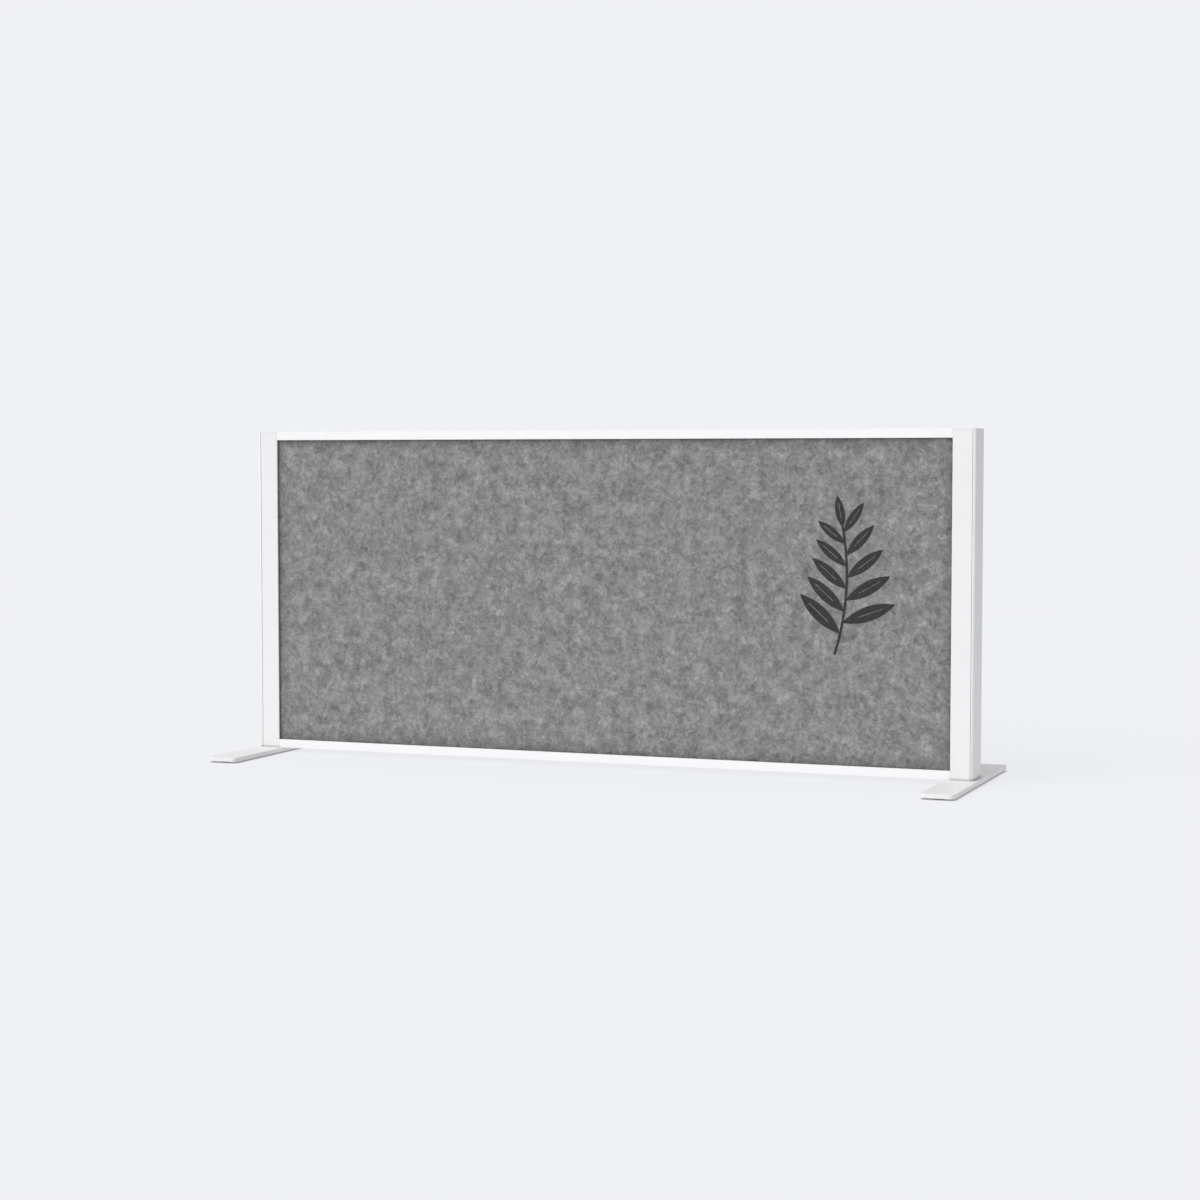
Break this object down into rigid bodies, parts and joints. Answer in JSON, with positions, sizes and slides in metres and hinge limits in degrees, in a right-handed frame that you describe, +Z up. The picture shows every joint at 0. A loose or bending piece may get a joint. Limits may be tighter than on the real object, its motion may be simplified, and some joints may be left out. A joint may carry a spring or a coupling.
{
  "type": "desk privacy panel",
  "caption": "Free-standing desk screen: mottled grey felt infill in a slim white frame on flat cross feet.",
  "frame": {"origin": "on the desk, under the middle of the panel", "axes": "+Z up, +X to the right along the panel, -Y towards the viewer (the face with the leaf sprig)"},
  "size_m": [0.931, 0.28, 0.4065],
  "materials": {
    "post_powder_coat": "white powder coat, satin",
    "cover_powder_coat": "white powder coat, satin",
    "rail_powder_coat": "white powder coat, satin",
    "foot_powder_coat": "white powder coat on steel plate",
    "cap_plastic": "moulded, fine satin",
    "core_fibreboard": "raw fibreboard",
    "acoustic_wadding": "pressed polyester wadding",
    "grey_felt": "mottled grey wool felt",
    "dark_transfer": "matt flocked transfer",
    "black_plastic": "moulded, matt",
    "zinc_steel": "zinc plated",
    "pad_rubber": "matt"
  },
  "bodies": {
    "root": {"left_post": "post_powder_coat", "right_post": "post_powder_coat", "left_post_cover": "cover_powder_coat", "right_post_cover": "cover_powder_coat", "left_end_cap": "cap_plastic", "right_end_cap": "cap_plastic", "top_rail": "rail_powder_coat", "bottom_rail": "rail_powder_coat", "core_board": "core_fibreboard", "front_acoustic_pad": "acoustic_wadding", "back_acoustic_pad": "acoustic_wadding", "front_fabric": "grey_felt", "back_fabric": "grey_felt", "leaf_motif": "dark_transfer", "setting_blocks": "black_plastic", "left_rail_screws": "zinc_steel", "right_rail_screws": "zinc_steel", "left_foot": "foot_powder_coat", "right_foot": "foot_powder_coat", "left_foot_screws": "zinc_steel", "right_foot_screws": "zinc_steel", "left_foot_pads": "pad_rubber", "right_foot_pads": "pad_rubber"}
  },
  "joints": []
}
